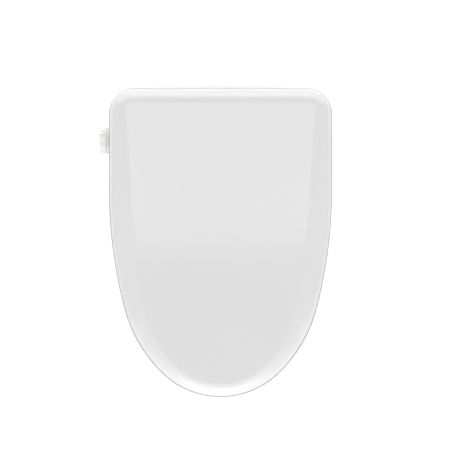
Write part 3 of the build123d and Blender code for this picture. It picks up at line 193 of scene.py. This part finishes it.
WHITE = (0.70, 0.70, 0.70)
FINISHES = {
    "lid_plastic": moulded("lid_plastic", WHITE, 0.2, 0.0016, 0.000004, 0.12, Specular_IOR_Level=0.5),
    "seat_plastic": moulded("seat_plastic", shade(WHITE, 0.94), 0.24, 0.0014, 0.000005, 0.09),
    "case_plastic": moulded("case_plastic", shade(WHITE, 0.86), 0.38, 0.0007, 0.00002, 0.07, 0.0005),
    # the knob's base colour is set lighter than the lid's white: painted light, standing in for the light
    # that the lid's overhang shades off the knob
    "knob_plastic": moulded("knob_plastic", (0.82, 0.82, 0.8), 0.22, 0.0009, 0.000006, 0.02, 0.0003),
    "nozzle_plastic": moulded("nozzle_plastic", (0.7, 0.71, 0.73), 0.18, 0.0008, 0.000005, 0.02, 0.0003),
    "grey_plastic": moulded("grey_plastic", (0.3, 0.31, 0.33), 0.45, 0.0006, 0.00003, 0.02, 0.0004),
    "black_plastic": moulded("black_plastic", (0.028, 0.028, 0.03), 0.42, 0.0006, 0.00003, 0.02, 0.0004),
    "rubber": moulded("rubber", (0.42, 0.43, 0.45), 0.62, 0.0005, 0.00004, 0.01),
    "steel": metal("steel", (0.62, 0.63, 0.64), 0.28, (1, 1, 12)),
    "brass": metal("brass", (0.78, 0.57, 0.27), 0.3, (1, 1, 10)),
    "ceramic": moulded("ceramic", (0.78, 0.76, 0.7), 0.3, 0.0004, 0.00001, 0.01),
    "hose": moulded("hose", (0.55, 0.66, 0.72), 0.3, 0.002, 0.00002, 0.02, Transmission_Weight=0.25),
    "board": circuit_board(),
    "foil": heating_foil(),
}


def finish_of(slot):
    return FINISHES[slot].material


for part in frame["record"]["subparts"]:
    node = frame["nodes"][part["node"]]
    for place in node.material_slots:
        place.material = finish_of(part["material_slot"])
    if not node.material_slots:
        node.data.materials.append(finish_of(part["material_slot"]))


# ---------------------------------------------------------------- mesh helpers
def new_piece(name, mesh, body, slot, replaced=()):
    piece = bpy.data.objects.new(name, mesh)
    bpy.context.scene.collection.objects.link(piece)
    mesh.materials.append(finish_of(slot))
    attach(piece, body)
    if replaced:
        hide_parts(*replaced)
    return piece


def loops_mesh(name, loops, capped=False):
    """Smooth quads between successive closed loops of equal counts, capped at both ends or open."""
    bm = bmesh.new()
    rows = [[bm.verts.new(p) for p in loop] for loop in loops]
    count = len(rows[0])
    for a, b in zip(rows, rows[1:]):
        for i in range(count):
            j = (i + 1) % count
            bm.faces.new((a[i], a[j], b[j], b[i]))
    if capped:
        bm.faces.new(list(reversed(rows[0])))
        bm.faces.new(rows[-1])
    bmesh.ops.remove_doubles(bm, verts=bm.verts, dist=1e-6)
    bmesh.ops.dissolve_degenerate(bm, dist=1e-7, edges=bm.edges)
    bmesh.ops.recalc_face_normals(bm, faces=bm.faces)
    mesh = bpy.data.meshes.new(name)
    bm.to_mesh(mesh)
    bm.free()
    mesh.shade_smooth()
    return mesh


def scaled(loops):
    return [[Vector(p) * MM for p in loop] for loop in loops]


def split_edges(piece, degrees):
    """Sharp edges where faces meet at more than some degrees."""
    piece.modifiers.new("Edges", "EDGE_SPLIT").split_angle = math.radians(degrees)


# ---------------------------------------------------------------- the lid
# Plan outline, in millimetres: tangent arcs from the front tip back, a straight side and a round rear corner
HALF_WIDTH, REAR_Y, FRONT_Y = 180, 50, -450
FRONT_R, FRONT_TURN = 135, 43
FLANK_R, FLANK_TURN = 222, 32.5
CORNER_R = 42
SHELL = 3
ROLL = 24
INSIDE = 0.02  # the shell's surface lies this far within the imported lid's
HINGE_Y, HINGE_Z = 26, 68
EDGE_REAR_Z, EDGE_FRONT_Z, EDGE_BEND_Y = 56, 34, -60


def outline_points():
    """Points of the right-hand half from the front tip to the rear middle: (x, y, outward x, outward y)."""
    front = (0, FRONT_Y + FRONT_R)
    turn = FRONT_TURN + FLANK_TURN
    a, b = math.radians(FRONT_TURN), math.radians(turn)
    flank = (-(FLANK_R - FRONT_R) * math.sin(a), front[1] + (FLANK_R - FRONT_R) * math.cos(a))
    side_r = (HALF_WIDTH - flank[0] - FLANK_R * math.sin(b)) / (1 - math.sin(b))
    side = (flank[0] - (side_r - FLANK_R) * math.sin(b), flank[1] + (side_r - FLANK_R) * math.cos(b))
    corner = (HALF_WIDTH - CORNER_R, REAR_Y - CORNER_R)
    points = []

    def arc(centre, radius, start, end, steps):
        for i in range(steps):
            t = math.radians(start + (end - start) * i / steps)
            nx, ny = math.cos(t), math.sin(t)
            points.append((centre[0] + radius * nx, centre[1] + radius * ny, nx, ny))

    def line(start, end, normal, steps):
        for i in range(steps):
            t = i / steps
            points.append((start[0] + (end[0] - start[0]) * t, start[1] + (end[1] - start[1]) * t, *normal))

    arc(front, FRONT_R, -90, -90 + FRONT_TURN, 26)
    arc(flank, FLANK_R, -90 + FRONT_TURN, -90 + turn, 26)
    arc(side, side_r, -90 + turn, 0, 30)
    line((HALF_WIDTH, side[1]), (HALF_WIDTH, corner[1]), (1, 0), 18)
    arc(corner, CORNER_R, 0, 90, 22)
    line((corner[0], REAR_Y), (0, REAR_Y), (0, 1), 22)
    points.append((0, REAR_Y, 0, 1))
    return points


def whole_outline():
    right = [(x - nx * INSIDE, y - ny * INSIDE, nx, ny) for x, y, nx, ny in outline_points()]
    left = [(-x, y, -nx, ny) for x, y, nx, ny in reversed(right[1:-1])]
    return right + left


def top_z(y):
    """Height of the lid's crown line: a gentle slope, a long bend and a steeper front."""
    rear, front = math.radians(1.0), math.radians(6.5)
    bend_start, bend_end = -60, -250
    radius = (bend_start - bend_end) / (math.sin(front) - math.sin(rear))
    z = HINGE_Z - INSIDE + ROLL * math.cos(rear)
    start_z = z - (HINGE_Y - ROLL * math.sin(rear) - bend_start) * math.tan(rear)
    centre_y, centre_z = bend_start + radius * math.sin(rear), start_z - radius * math.cos(rear)
    if y > bend_start:
        return start_z + (y - bend_start) * math.tan(rear)
    if y > bend_end:
        return centre_z + math.sqrt(radius**2 - (centre_y - y) ** 2)
    end_z = centre_z + math.sqrt(radius**2 - (centre_y - bend_end) ** 2)
    return end_z - (bend_end - y) * math.tan(front)


def edge_z(y):
    """Height of the lid's lower edge."""
    if y > EDGE_BEND_Y:
        return EDGE_REAR_Z
    return EDGE_FRONT_Z + (y - FRONT_Y) * (EDGE_REAR_Z - EDGE_FRONT_Z) / (EDGE_BEND_Y - FRONT_Y)


def smooth_step(t):
    t = max(0.0, min(1.0, t))
    return t * t * (3 - 2 * t)


def between(stops, value):
    """A smooth curve through (position, level) stops."""
    for (a, low), (b, high) in zip(stops, stops[1:]):
        if value <= b:
            return low + (high - low) * smooth_step((value - a) / (b - a))
    return stops[-1][1]


SHOULDER_STOPS = [(-450, 25), (-400, 30), (-356, 39), (-290, 52), (-210, 50), (-130, 45), (-50, 39), (8, 32)]
REAR_SHOULDER = 24


def shoulder(y, ny):
    """How far in from the edge the crown begins: narrow at the front tip and the rear, wide at the flanks."""
    side, rear = SHOULDER_STOPS[-1][1], REAR_SHOULDER
    if ny > 0.001:
        return side - (side - rear) * smooth_step(ny * 1.2)
    return between(SHOULDER_STOPS, y)


SPINE_REAR, SPINE_FRONT = 0, -345
CROWN = 1.5
FULLNESS = 1.14  # an exponent: 1 makes the shoulder's section an ellipse, and more makes it flatter
ROLL_STEPS, TOP_STEPS = 20, 16
SEAM_IN, SEAM_OUT, SEAM_DEPTH = 1.6, 0.3, 2.1  # the fine seam between the lid's dome and its rim
RIM_TOP = 2.7
EDGE_BAND = 2.5  # the least height left below the shoulder


def lid_loops():
    """Closed loops of the lid's shell, from the middle of the top out, round the edge and back inside."""
    rim = whole_outline()

    def crown(x):
        return CROWN * (x / HALF_WIDTH) ** 2

    def roll_height(y):
        return min(ROLL, top_z(y) - edge_z(y) - EDGE_BAND)

    def rolled(inset, angle, start=0.0):
        """A loop on the rolled shoulder: angle 0 is its lower end near the edge and 90 its upper end."""
        loop = []
        for x, y, nx, ny in rim:
            width, height = shoulder(y, ny) - inset - start, roll_height(y) - inset
            d = inset + start + width * (1 - max(0, math.cos(angle)) ** FULLNESS)
            px, py = x - nx * d, y - ny * d
            loop.append((px, py, top_z(py) - crown(px) - inset - height * (1 - math.sin(angle) ** FULLNESS)))
        return loop

    def top(inset, share):
        """A loop between the shoulder's upper end and the spine."""
        loop = []
        for x, y, nx, ny in rim:
            d = shoulder(y, ny)
            qx, qy = x - nx * d, y - ny * d
            sy = max(SPINE_FRONT, min(SPINE_REAR, qy))
            px, py = qx * (1 - share), qy + (sy - qy) * share
            loop.append((px, py, top_z(py) - crown(px) - inset))
        return loop

    def edge(inset, lift):
        return [(x - nx * inset, y - ny * inset, edge_z(y) + lift) for x, y, nx, ny in rim]

    def seam(inset, lift, share):
        """A loop by the seam, from the rim's top at share 0 to its floor at 1. The seam ends at the rear."""
        loop = []
        for x, y, nx, ny in rim:
            depth = share * SEAM_DEPTH * (1 - smooth_step(ny * 1.5))
            loop.append((x - nx * inset, y - ny * inset, edge_z(y) + RIM_TOP - depth + lift))
        return loop

    tops = [top(0, 1 - i / TOP_STEPS) for i in range(TOP_STEPS)]
    rolls = [rolled(0, math.pi / 2 * (1 - i / ROLL_STEPS), SEAM_IN) for i in range(ROLL_STEPS + 1)]
    turns = [math.radians(a) for a in (0, 30, 60, 90)]
    r = 0.1
    step = [seam(SEAM_IN, r, 1), seam(SEAM_IN - r, 0, 1), seam(SEAM_OUT + r, 0, 1), seam(SEAM_OUT, r, 1)]
    step += [seam(SEAM_OUT, -r, 0), seam(SEAM_OUT - r, 0, 0), seam(r, 0, 0), seam(0, -r, 0)]
    lip_r = 0.8
    lip = [edge(lip_r * (1 - math.cos(t)), lip_r * (1 - math.sin(t))) for t in turns]
    inner = [edge(SHELL - lip_r * (1 - math.sin(t)), lip_r * (1 - math.cos(t))) for t in turns]
    inside = [rolled(SHELL, math.pi / 2 * i / ROLL_STEPS) for i in range(ROLL_STEPS + 1)]
    ceiling = [top(SHELL, (i + 1) / TOP_STEPS) for i in range(TOP_STEPS)]
    return tops + rolls + step + lip + inner + inside + ceiling




EAR_R, EAR_BORE_R, EAR_TOP_Z, EAR_X = 10, 4.6, 87.4, (136, 150)


def ear_loops(side):
    """One of the lid's two hinge ears: round below and square where it meets the lid."""
    steps = 48
    low, high = EAR_X
    bevel = 0.5

    def profile(shrink):
        loop = []
        for i in range(steps):
            t = 2 * math.pi * i / steps
            c, s = math.cos(t), math.sin(t)
            reach = EAR_R
            if s > 0:
                reach = min(EAR_R / max(abs(c), 1e-6), (EAR_TOP_Z - HINGE_Z) / max(s, 1e-6))
            reach -= shrink
            loop.append((HINGE_Y + reach * c, HINGE_Z + reach * s))
        return loop

    def circle(radius):
        turns = [2 * math.pi * i / steps for i in range(steps)]
        return [(HINGE_Y + radius * math.cos(t), HINGE_Z + radius * math.sin(t)) for t in turns]

    bore, edge, face = circle(EAR_BORE_R), profile(bevel), profile(0)
    rows = [(low, bore), (low, edge), (low + bevel, face)]
    rows += [(high - bevel, face), (high, edge), (high, bore), (low, bore)]
    return [[(side * x, y, z) for y, z in loop] for x, loop in rows]


new_piece("lid_shell", loops_mesh("lid_shell", scaled(lid_loops())), "lid_body", "lid_plastic", ["lid"])
for side, label in ((-1, "left"), (1, "right")):
    ear_mesh = loops_mesh("lid_ear", scaled(ear_loops(side)))
    ear = new_piece("lid_ear_" + label, ear_mesh, "lid_body", "lid_plastic")
    split_edges(ear, 35)


# ---------------------------------------------------------------- the control knob
KNOB_Y, KNOB_Z, KNOB_R = -34, 29.5, 21.5
KNOB_BACK, KNOB_FACE, FACE_R = -184.9, -196, 1.5
GROOVE_TURN, GROOVE_HALF, GROOVE_DEPTH = 24.4, 0.5, 0.8
POCKET_R, POCKET_DEPTH, GRIP_HALF = 18.5, 6, 7.5
SOCKET_R, SOCKET_FLAT, SOCKET_END = 4.05, 2.85, -193
TURNS = [math.radians(a) for a in (0, 22, 45, 68, 90)]


def knob_rim(shrink):
    """The knob's outline with its indicator groove, as (y, z) from the knob's middle."""
    half = math.degrees(GROOVE_HALF / KNOB_R)
    plain = 96
    turns = [(GROOVE_TURN + half + (360 - 2 * half) * i / plain, 0) for i in range(plain + 1)]
    turns += [(GROOVE_TURN + offset, GROOVE_DEPTH) for offset in (0.2 - half, 0, half - 0.2)]
    rim = []
    for degrees, cut in turns:
        t, r = math.radians(degrees), KNOB_R - shrink - cut
        rim.append((r * math.sin(t), r * math.cos(t)))
    return rim


def cut_circle(radius, flat, larger=False):
    """The smaller or the larger part of a circle cut straight at flat, as (across, along) points."""
    reach = math.acos(flat / radius)
    low, high = (reach, 2 * math.pi - reach) if larger else (-reach, reach)
    steps = 40
    arc = [low + (high - low) * i / steps for i in range(steps + 1)]
    points = [(radius * math.cos(t), radius * math.sin(t)) for t in arc]
    start, end = points[-1][1], points[0][1]
    return points + [(flat, start + (end - start) * i / 16) for i in range(1, 16)]


def knob_mesh():
    bm = bmesh.new()

    def joined(places):
        """Skirts between successive loops at their x, and the edges of the first and the last loop."""
        rings = []
        for x, loop in places:
            rings.append([bm.verts.new((x * MM, (KNOB_Y + y) * MM, (KNOB_Z + z) * MM)) for y, z in loop])
        for a, b in zip(rings, rings[1:]):
            for i in range(len(a)):
                j = (i + 1) % len(a)
                bm.faces.new((a[i], a[j], b[j], b[i]))
        ends = rings[0], rings[-1]
        return [[bm.edges.get((ring[i], ring[i - 1])) for i in range(len(ring))] for ring in ends]

    front_edge = []
    for t in TURNS:
        front_edge.append((KNOB_FACE + FACE_R * (1 - math.sin(t)), knob_rim(FACE_R * (1 - math.cos(t)))))
    back, face = joined([(KNOB_BACK, knob_rim(0.1)), (KNOB_BACK - 0.1, knob_rim(0))] + front_edge)
    lip_r, foot_r = 0.6, 1.2
    pocket_floor = KNOB_FACE + POCKET_DEPTH
    for side in (-1, 1):
        places = [(KNOB_FACE + lip_r * (1 - math.cos(t)), lip_r * (math.sin(t) - 1)) for t in TURNS]
        places += [(pocket_floor - foot_r * (1 - math.sin(t)), foot_r * (1 - math.cos(t))) for t in TURNS]
        pocket = []
        for x, shrink in places:
            loop = cut_circle(POCKET_R - shrink, GRIP_HALF + shrink)
            pocket.append((x, [(side * y, z) for y, z in loop]))
        lip, foot = joined(pocket)
        face += lip
        bmesh.ops.triangle_fill(bm, edges=foot, use_beauty=True)
    socket_rim = [(y, z) for z, y in cut_circle(SOCKET_R, SOCKET_FLAT, larger=True)]
    mouth, end = joined([(KNOB_BACK, socket_rim), (SOCKET_END, socket_rim)])
    for edges in (face, back + mouth, end):
        bmesh.ops.triangle_fill(bm, edges=edges, use_beauty=True)
    bmesh.ops.recalc_face_normals(bm, faces=bm.faces)
    mesh = bpy.data.meshes.new("knob_grip")
    bm.to_mesh(mesh)
    bm.free()
    mesh.shade_smooth()
    return mesh


knob = new_piece("knob_grip", knob_mesh(), "knob", "knob_plastic", ["control_knob"])
split_edges(knob, 32)


# ---------------------------------------------------------------- threads of the bolts and the inlet
AROUND = 40


def disc(radius, z):
    turns = [2 * math.pi * i / AROUND for i in range(AROUND)]
    return [(radius * math.cos(t), radius * math.sin(t), z) for t in turns]


def thread(low, high, crest, root, pitch):
    """Loops up a right-handed thread that fades out at both ends."""
    steps = round((high - low) / pitch * 8)
    loops = []
    for k in range(steps + 1):
        z = low + (high - low) * k / steps
        full = max(0.0, min(1.0, (z - low) / pitch, (high - z) / pitch))
        loop = []
        for i in range(AROUND):
            off_crest = abs((z / pitch - i / AROUND) % 1 - 0.5) * 2
            ridge = max(0.0, min(1.0, (0.85 - off_crest) / 0.7))
            radius = root + (crest - root) * ridge * full
            t = 2 * math.pi * i / AROUND
            loop.append((radius * math.cos(t), radius * math.sin(t), z))
        loops.append(loop)
    return loops


def slot_rim(half_x, half_y, z):
    """A rectangle with as many points as a disc has."""
    loop = []
    for i in range(AROUND):
        t = 2 * math.pi * (i + 0.5) / AROUND
        reach = 1 / max(abs(math.cos(t)), abs(math.sin(t)))
        loop.append((half_x * reach * math.cos(t), half_y * reach * math.sin(t), z))
    return loop


def turned_piece(name, loops, centre, slot, replaced, capped=False):
    x, y = centre
    loops = [[(px + x, py + y, pz) for px, py, pz in loop] for loop in loops]
    piece = new_piece(name, loops_mesh(name, scaled(loops), capped), "base", slot, replaced)
    split_edges(piece, 40)


BOLT_X, BOLT_END, BOWL_UNDER, BOLT_SEAT, HEAD_TOP = 70, -66, -30, 7, 10.8
BOLT_CREST, BOLT_ROOT, BOLT_PITCH, SHANK_R, NECK_R, HEAD_R = 3.6, 3, 1.25, 4, 4.3, 8
SLOT_HALF, SLOT_DEPTH = (5, 0.8), 1.2


def bolt_loops():
    """From the end of the thread up the shank and the neck to the slotted head."""
    loops = [disc(2.5, BOLT_END), disc(BOLT_ROOT, BOLT_END + 0.6)]
    loops += thread(BOLT_END + 0.7, BOWL_UNDER - 1, BOLT_CREST, BOLT_ROOT, BOLT_PITCH)
    loops += [disc(BOLT_ROOT, BOWL_UNDER - 0.4), disc(SHANK_R - 0.1, BOWL_UNDER)]
    loops += [disc(SHANK_R, BOWL_UNDER + 0.2), disc(SHANK_R, 0), disc(NECK_R, 0), disc(NECK_R, BOLT_SEAT)]
    loops += [disc(HEAD_R - 0.4, BOLT_SEAT), disc(HEAD_R, BOLT_SEAT + 0.4)]
    loops += [disc(HEAD_R - 1 + math.cos(t), HEAD_TOP - 1 + math.sin(t)) for t in TURNS]
    return loops + [slot_rim(*SLOT_HALF, HEAD_TOP), slot_rim(*SLOT_HALF, HEAD_TOP - SLOT_DEPTH)]


INLET, INLET_END, INLET_SHOULDER, FLANGE_Z = (144, 21), -18, 1.5, (4.7, 8)
INLET_CREST, INLET_ROOT, INLET_PITCH = 10.48, 9.5, 1.814
INLET_NECK_R, INLET_BORE_R, FLANGE_R = 9.8, 5.6, 14


def inlet_loops():
    """Up the threaded spigot and the neck to the flange, and back down the bore."""
    under, top = FLANGE_Z
    bevel = 0.3
    loops = [disc(INLET_BORE_R, INLET_END), disc(INLET_ROOT - bevel, INLET_END)]
    loops += [disc(INLET_ROOT, INLET_END + bevel)]
    loops += thread(INLET_END + 0.4, INLET_SHOULDER - bevel, INLET_CREST, INLET_ROOT, INLET_PITCH)
    loops += [disc(INLET_NECK_R, INLET_SHOULDER), disc(INLET_NECK_R, under)]
    loops += [disc(FLANGE_R - bevel, under), disc(FLANGE_R, under + bevel)]
    loops += [disc(FLANGE_R, top - bevel), disc(FLANGE_R - bevel, top)]
    return loops + [disc(INLET_BORE_R, top), disc(INLET_BORE_R, INLET_END)]


turned_piece("bolt_left", bolt_loops(), (-BOLT_X, 0), "steel", ["fixing_bolts"], capped=True)
turned_piece("bolt_right", bolt_loops(), (BOLT_X, 0), "steel", ["fixing_bolts"], capped=True)
turned_piece("inlet_thread", inlet_loops(), INLET, "brass", ["inlet_connector"])


# ---------------------------------------------------------------- floor, light and camera
def stage_plane(name, size, z):
    bm = bmesh.new()
    bmesh.ops.create_grid(bm, x_segments=8, y_segments=8, size=size)
    mesh = bpy.data.meshes.new(name)
    bm.to_mesh(mesh)
    bm.free()
    plane = bpy.data.objects.new(name, mesh)
    plane.location.z = z
    bpy.context.scene.collection.objects.link(plane)
    return plane


STAGE_MIDDLE = Vector((0, -0.2, 0.06))


def soft_box(name, azimuth, elevation, width, height, radiance, distance=2.3):
    """An area light facing the seat. Azimuth 0 is in front, 90 is the +X side, and radiance is its glow."""
    a, e = math.radians(azimuth), math.radians(elevation)
    away = Vector((math.sin(a) * math.cos(e), -math.cos(a) * math.cos(e), math.sin(e)))
    data = bpy.data.lights.new(name, "AREA")
    data.shape = "RECTANGLE"
    data.size, data.size_y = width, height
    data.energy = radiance * math.pi * width * height
    lamp = bpy.data.objects.new(name, data)
    lamp.location = STAGE_MIDDLE + away * distance
    lamp.rotation_euler = (-away).to_track_quat("-Z", "Y").to_euler()
    lamp.visible_camera = False
    bpy.context.scene.collection.objects.link(lamp)


floor = stage_plane("studio_floor", 12, cad_low.z - 0.0005)
paper = moulded("studio_paper", (0.93, 0.93, 0.93), 0.9, 0.002, 0.00002, 0.4)
paper.shader.inputs["Emission Color"].default_value = (1, 1, 1, 1)
paper.shader.inputs["Emission Strength"].default_value = 0.25
floor.data.materials.append(paper.material)

world = bpy.data.worlds.new("studio")
world.use_nodes = True
world.node_tree.nodes["Background"].inputs["Color"].default_value = (1, 1, 1, 1)
world.node_tree.nodes["Background"].inputs["Strength"].default_value = 0.02
bpy.context.scene.world = world

soft_box("overhead", 0, 90, 1.9, 0.95, 2.1)
soft_box("front_low", 0, 13, 2.6, 0.9, 4.0)
soft_box("front_strip", 0, 38, 2.4, 0.8, 1.9)
soft_box("rear_bank", 180, 14, 2.6, 0.95, 3.0)
soft_box("rear_fill", 180, 50, 2.4, 1.6, 0.45)
for side, label in ((-1, "left"), (1, "right")):
    soft_box(label + "_high_bank", side * 92, 65, 1.5, 1.1, 0.9)
    soft_box(label + "_front_low", side * 50, 13, 1.3, 0.9, 1.0)
    soft_box(label + "_front_strip", side * 48, 38, 1.2, 0.8, 0.9)
    soft_box(label + "_low_fill", side * 90, 30, 1.5, 1.9, 1.0)
    soft_box(label + "_rear_low", side * 132, 14, 1.2, 0.9, 3.4)

VIEW_CENTRE, VIEW_WIDTH = (0.0072, -0.171, 0.06), 0.725
camera_data = bpy.data.cameras.new("camera")
camera_data.lens = 200
camera_data.sensor_width = 36
camera = bpy.data.objects.new("camera", camera_data)
distance = VIEW_WIDTH / camera_data.sensor_width * camera_data.lens
camera.location = (VIEW_CENTRE[0], VIEW_CENTRE[1], VIEW_CENTRE[2] + distance)
camera_data.clip_start, camera_data.clip_end = 0.1, 60
bpy.context.scene.collection.objects.link(camera)
bpy.context.scene.camera = camera

settings = bpy.context.scene.view_settings
settings.view_transform = "Standard"
settings.look = "None"
settings.exposure = 0
settings.gamma = 1
